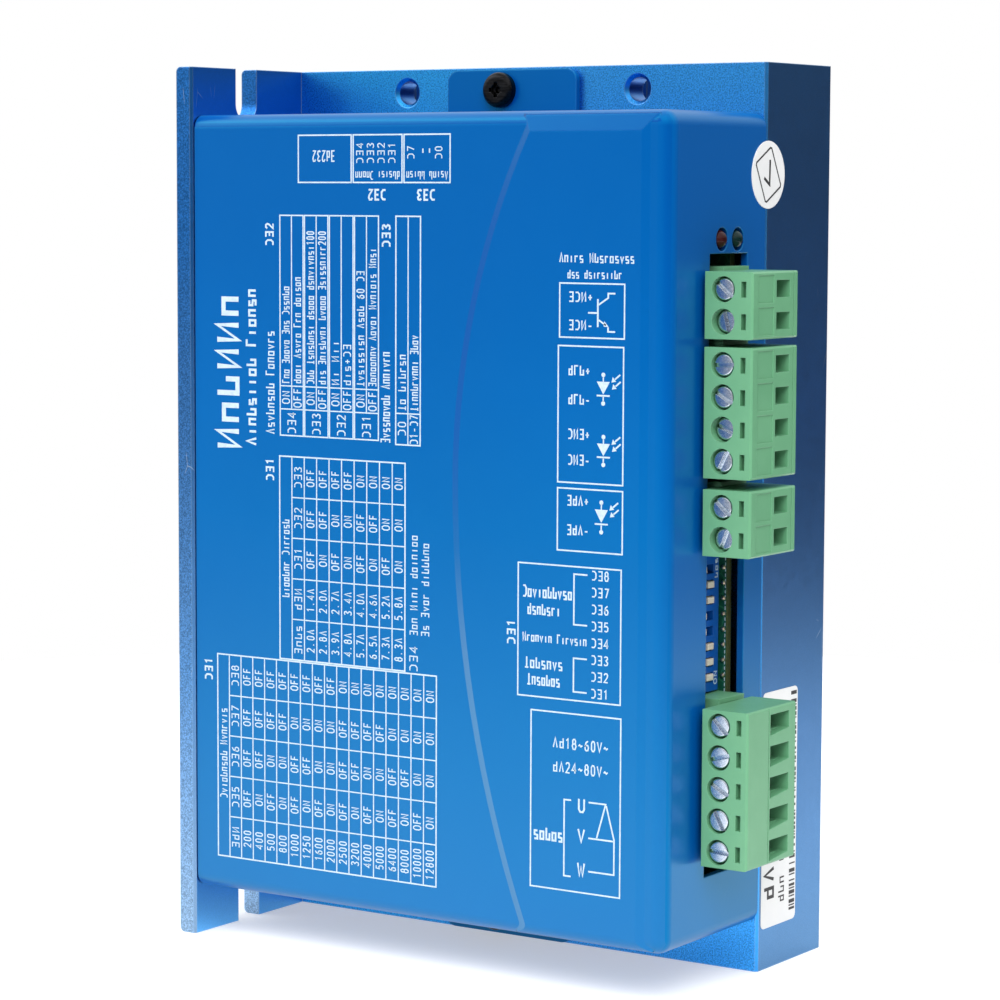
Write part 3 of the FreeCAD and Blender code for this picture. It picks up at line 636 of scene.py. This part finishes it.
def print_top_boxes(ink, rng):
    """Three boxes that name the openings in the end of the cover."""
    b0, b1 = 130.4, 138.2
    ink.frame(25.65, 36.55, b0, b1)
    ink.text("bk232", 33.2, 135.6, 1.7, 4.6, FLIPPED)

    a0, a1 = 36.95, 46.8
    ink.frame(a0, a1, b0, b1)
    ink.text(nonsense(rng, 6, 5), a1 - 0.45, 132.2, 1.3, a1 - a0 - 0.9, FLIPPED)
    for i in range(4):
        ink.text("ab" + str(4 - i), a0 + 2.0 + 2.15 * i, 133.5, 1.3, 3.4, UP)

    a0, a1 = 47.2, 56.3
    ink.frame(a0, a1, b0, b1)
    ink.text(nonsense(rng, 5, 5), a1 - 0.45, 132.2, 1.3, a1 - a0 - 0.9, FLIPPED)
    first, middle, last = (a0 + 2.0 + 2.75 * i for i in range(3))
    ink.text("a7", first, 134.2, 1.3, 2.1, UP)
    for a in (middle - 1.0, middle + 0.3):
        ink.bar(a, 135.2, a, 135.9, 0.25)
    ink.text("a0", last, 134.2, 1.3, 2.1, UP)

    ink.text("ab2", 43.6, 129.2, 1.6, 3.6, FLIPPED, BOLD)
    ink.text("ab3", 53.4, 129.2, 1.6, 3.6, FLIPPED, BOLD)


def print_functions(ink, rng):
    """Four paired rows: a switch, ON and OFF, and what each of the two does."""
    ink.text(nonsense(rng, 8, 7), 20.5, 88.1, 1.75, 17.3, UP)
    ink.text("ab2", 20.3, 119.8, 1.5, 3.8, UP, BOLD)
    # lengths of the words, what follows them, and where the line ends
    lines = [((3, 5, 3, 6), "", 113.0), ((4, 5, 3, 6), "", 114.6),
             ((3, 8, 5, 9), "100", 122.3), ((3, 8, 5, 9), "200", 122.3),
             ((2, 3), "", 104.2), ((3,), "+ab", 103.6),
             ((9, 4), " 60 ab", 115.8), ((8, 5, 7, 4), "", 119.6)]
    low, names, states, high = 87.95, 92.4, 96.3, 124.9
    for pair in range(4):
        a0 = 21.75 + 5.16 * pair
        a1 = a0 + 4.86
        ink.frame(a0, a1, low, high, 0.22)
        for b in (names, states):
            ink.bar(a0 + INSET, b, a1 - INSET, b, RULE)
        middle = (a0 + a1) / 2
        ink.bar(middle, names + INSET, middle, states - INSET, RULE)
        ink.bar(middle, states + INSET, middle, high - INSET, RULE)
        cell_text(ink, "ab" + str(4 - pair), middle, 90.1, 1.2, 1.6)
        for k, (words, tail, end) in enumerate(lines[2 * pair:2 * pair + 2]):
            a = a0 + (0.25 + 0.5 * k) * (a1 - a0)
            cell_text(ink, "OFF" if k else "ON", a, 94.35, 1.08, 1.5)
            ink.text(nonsense(rng, *words) + tail, a + 0.72, 96.8, SMALL_PRINT, end - 96.8, UP)


def print_smoothing(ink, rng):
    """Two rows: dial positions, and what they do."""
    a0, a1, b0, names, b1 = 45.6, 50.5, 87.45, 92.6, 124.9
    middle = (a0 + a1) / 2
    ink.text(nonsense(rng, 9, 7), 44.4, 87.6, 1.75, 15.0, UP)
    ink.text("ab3", 44.4, 119.8, 1.5, 3.8, UP, BOLD)
    ink.frame(a0, a1, b0, b1)
    ink.bar(middle, b0 + INSET, middle, names - 0.1, RULE)
    ink.bar(a0 + INSET, names, a1 - INSET, names, RULE)
    ink.bar(middle, names + 0.1, middle, b1 - INSET, RULE)
    cell_text(ink, "a0", 46.85, 90.1, 1.2, 1.5)
    cell_text(ink, "a1-a7", 49.25, 90.0, 0.95, 1.5)
    ink.text(nonsense(rng, 2, 6), 47.6, 93.1, 1.5, 9.2, UP)
    ink.text(nonsense(rng, 10, 4), 50.05, 93.1, 1.5, 12.4, UP)


def print_currents(ink, rng):
    """Eight settings with two values each, for three switches, and a note below."""
    a0, a1 = 21.6, 47.5
    pitch, rows = grid(ink, a0, a1, 49.9, 84.4, 10, 5)
    ink.text(nonsense(rng, 7, 7), 23.6, 60.5, 1.5, 13.2, UP)
    ink.text("ab1", 20.3, 80.1, 1.5, 3.8, UP, BOLD)
    for b, words in zip(rows, ("bfhj", "kbn", "ab1", "ab2", "ab3")):
        cell_text(ink, words, a0 + pitch * 1.5, b, 1.2)
    peak = ("2.0d", "2.8d", "3.9d", "4.8d", "5.7d", "6.5d", "7.3d", "8.3d")
    mean = ("1.4d", "2.0d", "2.7d", "3.4d", "4.0d", "4.6d", "5.2d", "5.8d")
    state_columns(ink, a0 + 2 * pitch, pitch, rows, peak, 3)
    for i, value in enumerate(mean):
        cell_text(ink, value, a0 + pitch * (i + 2.5), rows[1], CELL_PITCH)
    ink.text("ab4", 50.0, 50.0, 1.5, 4.2, UP)
    ink.text(nonsense(rng, 3, 4, 7), 50.0, 56.0, SMALL_PRINT, 16.6, UP)
    ink.text(nonsense(rng, 2, 4, 7), 52.3, 56.0, SMALL_PRINT, 15.4, UP)


def print_steps(ink, rng):
    """Sixteen settings for four switches."""
    a0, a1 = 8.1, 53.85
    pitch, rows = grid(ink, a0, a1, 14.4, 49.6, 18, 5)
    ink.text(nonsense(rng, 9, 7), 10.1, 24.6, 1.5, 15.6, UP)
    ink.text("ab1", 6.9, 44.9, 1.5, 3.8, UP, BOLD)
    for b, words in zip(rows, ("bkn", "ab5", "ab6", "ab7", "ab8")):
        cell_text(ink, words, a0 + pitch * 1.5, b, 1.2)
    steps = ("200", "400", "500", "800", "1000", "1250", "1600", "2000",
             "2500", "3200", "4000", "5000", "6400", "8000", "10000", "12800")
    state_columns(ink, a0 + 2 * pitch, pitch, rows, steps, 4)


def print_settings(ink, rng):
    """Title and the turned tables on the left part of the label face."""
    for block in (print_title, print_top_boxes, print_functions, print_smoothing, print_currents,
                  print_steps):
        block(ink, rng)


def lamp_symbol(ink, a, top, drop):
    """Diode drawn downwards from a dot at top, with two arrows that point at it."""
    ink.dot(a, top, 0.36)
    ink.dot(a, top - drop, 0.36)
    ink.bar(a, top - 0.3, a, top - 0.24 * drop, 0.22)
    ink.patch([(a - 1.2, top - 0.24 * drop), (a, top - 0.68 * drop), (a + 1.2, top - 0.24 * drop)])
    ink.bar(a - 1.2, top - 0.73 * drop, a + 1.2, top - 0.73 * drop, SYMBOL_LINE)
    ink.bar(a, top - 0.77 * drop, a, top - drop + 0.3, 0.22)
    for k in range(2):
        x, z = a + 3.1 + 0.1 * k, top + 0.1 - 1.1 * k
        ink.stroke([(x, z), (x - 0.95, z - 0.75)], SYMBOL_LINE)
        ink.patch([(x - 0.75, z - 1.1), (x - 1.6, z - 1.25), (x - 1.35, z - 0.4)])


def transistor_symbol(ink):
    """Base line with its lead, a plain upper arm and a lower arm with an arrow head."""
    ink.bar(84.8, 107.8, 84.8, 112.2, 0.3)
    ink.bar(83.0, 110.0, 84.64, 110.0, SYMBOL_LINE)
    ink.stroke([(84.96, 111.3), (86.7, 112.4), (86.7, 113.1), (88.0, 113.1)], SYMBOL_LINE)
    ink.stroke([(84.96, 108.9), (86.3, 108.1)], SYMBOL_LINE)
    ink.patch([(86.0, 108.75), (85.9, 107.9), (86.8, 107.85)])
    ink.stroke([(86.7, 107.8), (86.7, 107.1), (88.0, 107.1)], SYMBOL_LINE)


def winding_symbol(ink):
    """Bracket to the left of the three phases, and the lines that join them on the right."""
    ink.stroke([(80.4, 31.9), (79.1, 31.9), (79.1, 19.5), (80.4, 19.5)], SYMBOL_LINE)
    ink.stroke([(83.7, 31.9), (86.9, 31.9), (85.25, 26.3)], SYMBOL_LINE)
    ink.stroke([(87.0, 31.7), (88.5, 26.3), (88.5, 20.7), (83.7, 20.7)], SYMBOL_LINE)
    ink.bar(83.7, 26.1, 88.3, 26.1, SYMBOL_LINE)


def print_signals(ink, rng):
    """Heading, the alarm output and the three inputs."""
    ink.text(nonsense(rng, 5, 9), 77.6, 117.9, SMALL_PRINT, 13.8, ACROSS, MEDIUM)
    ink.text(nonsense(rng, 3, 9), 79.1, 115.4, 1.3, 10.1, ACROSS, MEDIUM)

    ink.frame(77.7, 89.7, 106.05, 114.6)
    for sign, b in (("+", 111.75), ("-", 107.3)):
        ink.text("ban" + sign, 79.4, b, SMALL_PRINT, 4.4, ACROSS, SEMIBOLD)
    transistor_symbol(ink)

    ink.frame(77.5, 89.6, 83.0, 104.7)
    for words, b in (("keh+", 100.1), ("keh-", 95.5), ("anb+", 90.0), ("anb-", 85.9)):
        ink.text(words, 79.4, b, 1.5, 4.0, ACROSS, SEMIBOLD)
    lamp_symbol(ink, 85.9, 100.3, 4.5)
    lamp_symbol(ink, 86.0, 90.5, 4.4)

    ink.frame(77.5, 89.6, 72.1, 82.05)
    for words, b in (("bkd+", 79.4), ("bkd-", 74.7)):
        ink.text(words, 79.3, b, 1.5, 4.0, ACROSS, SEMIBOLD)
    lamp_symbol(ink, 85.7, 80.1, 4.7)


def print_switch_names(ink, rng):
    """One name for each slider of the eight-way switch, and what two groups of them set."""
    ink.frame(70.1, 89.45, 48.1, 69.6)
    for i in range(SLIDERS):
        ink.text("ab" + str(SLIDERS - i), 84.0, 67.7 - 2.7 * i, 1.4, 3.2, ACROSS, MEDIUM)
    for top, bottom in ((68.4, 60.3), (54.9, 49.5)):
        ink.stroke([(83.2, top), (80.7, top), (80.7, bottom), (83.2, bottom)], SYMBOL_LINE)
    for words, a, b, height, length in (((10,), 71.0, 64.2, 1.8, 9.3),
                                        ((7,), 71.9, 61.4, 1.75, 6.2),
                                        ((7, 7), 71.0, 57.0, 1.4, 12.1),
                                        ((7,), 71.4, 52.7, 1.75, 7.2),
                                        ((7,), 71.9, 50.0, 1.75, 6.2)):
        ink.text(nonsense(rng, *words), a, b, height, length, ACROSS, MEDIUM)
    ink.text("ab1", 69.5, 56.2, 1.4, 4.0, UP, BOLD)


def print_power(ink):
    """Supply ranges and the three phases of the motor."""
    ink.frame(72.7, 89.6, 17.1, 45.9)
    ink.text("dk18~60V~", 76.9, 40.2, 1.6, 10.4, ACROSS, 0.14)
    ink.text("kd24~80V~", 76.9, 36.3, 1.6, 10.4, ACROSS, 0.14)
    for sign, b in (("U", 30.2), ("V", 25.3), ("W", 19.8)):
        ink.text(sign, 81.7, b, 2.1, 1.3, ACROSS, MEDIUM)
    ink.text("jghgj", 73.3, 24.9, 2.0, 5.5, ACROSS, SEMIBOLD)
    winding_symbol(ink)


def print_terminals(ink, rng):
    """Captions and symbols beside the terminals, on the raised part."""
    print_signals(ink, rng)
    print_switch_names(ink, rng)
    print_power(ink)


def print_tick(ink):
    """Tick in a square with cut corners, both tilted, on the round sticker."""
    c, s = math.cos(math.radians(28)), math.sin(math.radians(28))
    centre = (31.7, 131.8)
    half_wide, half_high, cut = 2.9, 3.6, 0.3

    def tilted(pts):
        return [(centre[0] + c * a - s * b, centre[1] + s * a + c * b) for a, b in pts]

    x, y = half_wide - cut, half_high - cut
    square = [(-x, -half_high), (x, -half_high), (half_wide, -y), (half_wide, y),
              (x, half_high), (-x, half_high), (-half_wide, y), (-half_wide, -y)]
    ink.stroke(tilted(square), 0.28, True)
    ink.stroke(tilted([(-1.5, 0.2), (-0.4, -1.6), (1.6, 1.9)]), 0.5)


def print_stickers(ink, rng):
    """Generic tick on the round sticker; bar code and lines of signs on the plate."""
    print_tick(ink)
    b, code_end = 8.6, 45.6
    while b < code_end:
        wide = rng.choice((0.22, 0.22, 0.42, 0.62))
        ink.bar(41.7, b + wide / 2, 43.6, b + wide / 2, wide)
        b += wide + rng.choice((0.25, 0.25, 0.45, 0.8))
    ink.text("k" + nonsense(rng, 5), 36.3, 11.5, 3.2, 18.0, UP, 0.18)
    ink.text(nonsense(rng, 3), 39.9, 10.5, 1.9, 4.4, UP, 0.14)
    ink.text("0427 1568", 39.9, 17.5, 1.9, 13.5, UP, 0.14)


def print_switches(ink, rng):
    """White marks on the face of the eight-way slide switch."""
    ink.text("ON", 23.6, 49.0, 0.95, 2.2, UP, BOLD)
    ink.text(nonsense(rng, 3), 23.6, 66.5, 0.95, 3.2, UP, BOLD)
    for i in range(SLIDERS):
        ink.text(str(i + 1), 15.6, 49.85 + SLIDER_PITCH * i, 0.9, 0.6, ACROSS, SEMIBOLD)


def solder_joints():
    """Round joints of the eight-way switch, which show at the edge of the board."""
    place = on_front(BOARD_LEVEL)
    across, first_up, radius = 93.98, 50.3, 0.42
    bm = bmesh.new()
    for i in range(SLIDERS):
        at = Vector(place(across, first_up + SLIDER_PITCH * i, 0)) * MM
        bmesh.ops.create_uvsphere(bm, u_segments=16, v_segments=10, radius=radius * MM,
                                  matrix=Matrix.Translation(at) @ Matrix.Diagonal((1, 1.1, 1, 1)))
    me = bpy.data.meshes.new("solder_joints")
    bm.to_mesh(me)
    bm.free()
    for f in me.polygons:
        f.use_smooth = True
    o = bpy.data.objects.new("solder_joints", me)
    bpy.context.collection.objects.link(o)
    me.materials.append(MATS["solder"])
    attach(o, "module")


def dashed_line():
    """White dashes along the edge of the board."""
    ink = Ink(on_front(BOARD_LEVEL), sunk=0.05)
    across, up, end = 94.3, 47.6, 73.0
    dash, dash_pitch, width = 0.55, 0.9, 0.14
    while up < end:
        ink.bar(across, up, across, up + dash, width)
        up += dash_pitch
    ink.build("board_print", MATS["label_ink"])


def printing():
    """Every printed piece: where it lies, what draws it, its slot and its material."""
    rng = random.Random(11)
    for name, place, draw, slot, material in (
            ("settings_print", on_front(LABEL_LEVEL), print_settings, "sticker_white", "label_ink"),
            ("terminal_print", on_front(RAISED_LEVEL), print_terminals, "sticker_white", "label_ink"),
            ("sticker_print", on_side(STICKER_LEVEL), print_stickers, "black_plastic", "black_ink"),
            ("switch_print", on_side(SWITCH_LEVEL), print_switches, "sticker_white", "label_ink")):
        ink = Ink(place)
        draw(ink, rng)
        ink.build(name, MATS[material])


printing()
solder_joints()
dashed_line()


# ------------------------------------------------------------------ stage

FLOOR_RADIUS = 0.36
FLOOR_GLOW = 0.45

# brightness of the walls from one side to the other, and where they give way to the ceiling
DARK_SIDE = (0.56, 0.83, 0.0)
WALL_STOPS = [(0.0, 0.52), (0.2, 0.42), (0.33, 0.18), (0.6, 0.2), (0.85, 0.12), (1.0, 0.10)]
CEILING_STOPS = [(0.0, 0.0), (0.55, 0.0), (0.80, 1.0), (1.0, 1.0)]
CEILING = 1.2

# camera: lens in mm, place in metres, heading in degrees
LENS, SENSOR = 117.1, 36.0
SHIFT_X, SHIFT_Y = 0.0456, -0.0019
CAMERA_AT = (0.3005, -0.4624, 0.1291)
YAW, PITCH, ROLL = -34.21, -5.40, -0.16

# both lights look at the lower half of the module
LIT_POINT = (0, 0, 0.05)


def area(name, loc, size, power, glossy=True):
    """Square area light, seen in reflections only if it is glossy."""
    d = bpy.data.lights.new(name, "AREA")
    d.energy = power
    d.shape = "SQUARE"
    d.size = size
    o = bpy.data.objects.new(name, d)
    o.visible_glossy = glossy
    bpy.context.collection.objects.link(o)
    o.location = loc
    o.rotation_mode = "QUATERNION"
    o.rotation_quaternion = (Vector(LIT_POINT) - Vector(loc)).to_track_quat("-Z", "Y")


def floor():
    """Pale round floor under the module."""
    me = bpy.data.meshes.new("floor")
    corners = 96
    turns = [2 * math.pi * i / corners for i in range(corners)]
    rim = [(FLOOR_RADIUS * math.cos(t), FLOOR_RADIUS * math.sin(t), CAD_BOX[0].z) for t in turns]
    me.from_pydata(rim, [], [list(range(corners))])
    o = bpy.data.objects.new("floor", me)
    bpy.context.collection.objects.link(o)
    m = Mat("floor", Roughness=0.7, Emission_Color=(1, 1, 1, 1), Emission_Strength=FLOOR_GLOW)
    m.color(m.ramp(m.noise(6, 3), [(0.3, (0.66, 0.66, 0.665)), (0.7, (0.68, 0.68, 0.685))]))
    me.materials.append(m.m)


def world():
    """White studio: bright overhead, dimmer walls, darkest behind the module on the right.

    The camera itself sees plain white.
    """
    w = bpy.data.worlds.new("studio")
    w.use_nodes = True
    nt = w.node_tree
    bg = nt.nodes["Background"]
    link = nt.links.new
    co = nt.nodes.new("ShaderNodeTexCoord")
    sep = nt.nodes.new("ShaderNodeSeparateXYZ")
    link(co.outputs["Generated"], sep.inputs[0])
    side = nt.nodes.new("ShaderNodeVectorMath")
    side.operation = "DOT_PRODUCT"
    link(co.outputs["Generated"], side.inputs[0])
    side.inputs[1].default_value = DARK_SIDE

    def ramp(fac, lo, hi, stops):
        mr = nt.nodes.new("ShaderNodeMapRange")
        link(fac, mr.inputs[0])
        mr.inputs[1].default_value, mr.inputs[2].default_value = lo, hi
        cr = nt.nodes.new("ShaderNodeValToRGB")
        while len(cr.color_ramp.elements) < len(stops):
            cr.color_ramp.elements.new(0.5)
        for e, (at, v) in zip(cr.color_ramp.elements, stops):
            e.position = at
            e.color = (v, v, v, 1)
        link(mr.outputs[0], cr.inputs[0])
        return cr.outputs[0]

    wall = ramp(side.outputs["Value"], -1, 1, WALL_STOPS)
    up = ramp(sep.outputs["Z"], -1, 1, CEILING_STOPS)
    mixed = nt.nodes.new("ShaderNodeMix")
    mixed.data_type = "RGBA"
    link(up, mixed.inputs[0])
    link(wall, mixed.inputs[6])
    mixed.inputs[7].default_value = (CEILING, CEILING, CEILING, 1)
    seen = nt.nodes.new("ShaderNodeLightPath")
    final = nt.nodes.new("ShaderNodeMix")
    final.data_type = "RGBA"
    link(seen.outputs["Is Camera Ray"], final.inputs[0])
    link(mixed.outputs[2], final.inputs[6])
    final.inputs[7].default_value = (1, 1, 1, 1)
    link(final.outputs[2], bg.inputs[0])
    bg.inputs[1].default_value = 1.0
    bpy.context.scene.world = w


def camera():
    """Long lens, in front of the module and above its middle, turned slightly down."""
    c = bpy.data.cameras.new("photo_view")
    c.lens = LENS
    c.sensor_width = SENSOR
    c.shift_x = SHIFT_X
    c.shift_y = SHIFT_Y
    c.clip_start, c.clip_end = 0.01, 50
    o = bpy.data.objects.new("photo_view", c)
    bpy.context.collection.objects.link(o)
    yaw, pitch, roll = math.radians(YAW), math.radians(PITCH), math.radians(ROLL)
    fwd = Vector((math.sin(yaw) * math.cos(pitch), math.cos(yaw) * math.cos(pitch), math.sin(pitch)))
    o.rotation_mode = "QUATERNION"
    o.rotation_quaternion = Quaternion(fwd, roll) @ fwd.to_track_quat("-Z", "Y")
    o.location = CAMERA_AT
    bpy.context.scene.camera = o


bpy.context.scene.view_settings.view_transform = "Standard"
bpy.context.scene.view_settings.look = "None"
floor()
world()
camera()
area("key", (0.55, -0.85, 0.95), size=0.9, power=17, glossy=False)
area("fill", (-0.8, -0.5, 0.7), size=0.8, power=3)
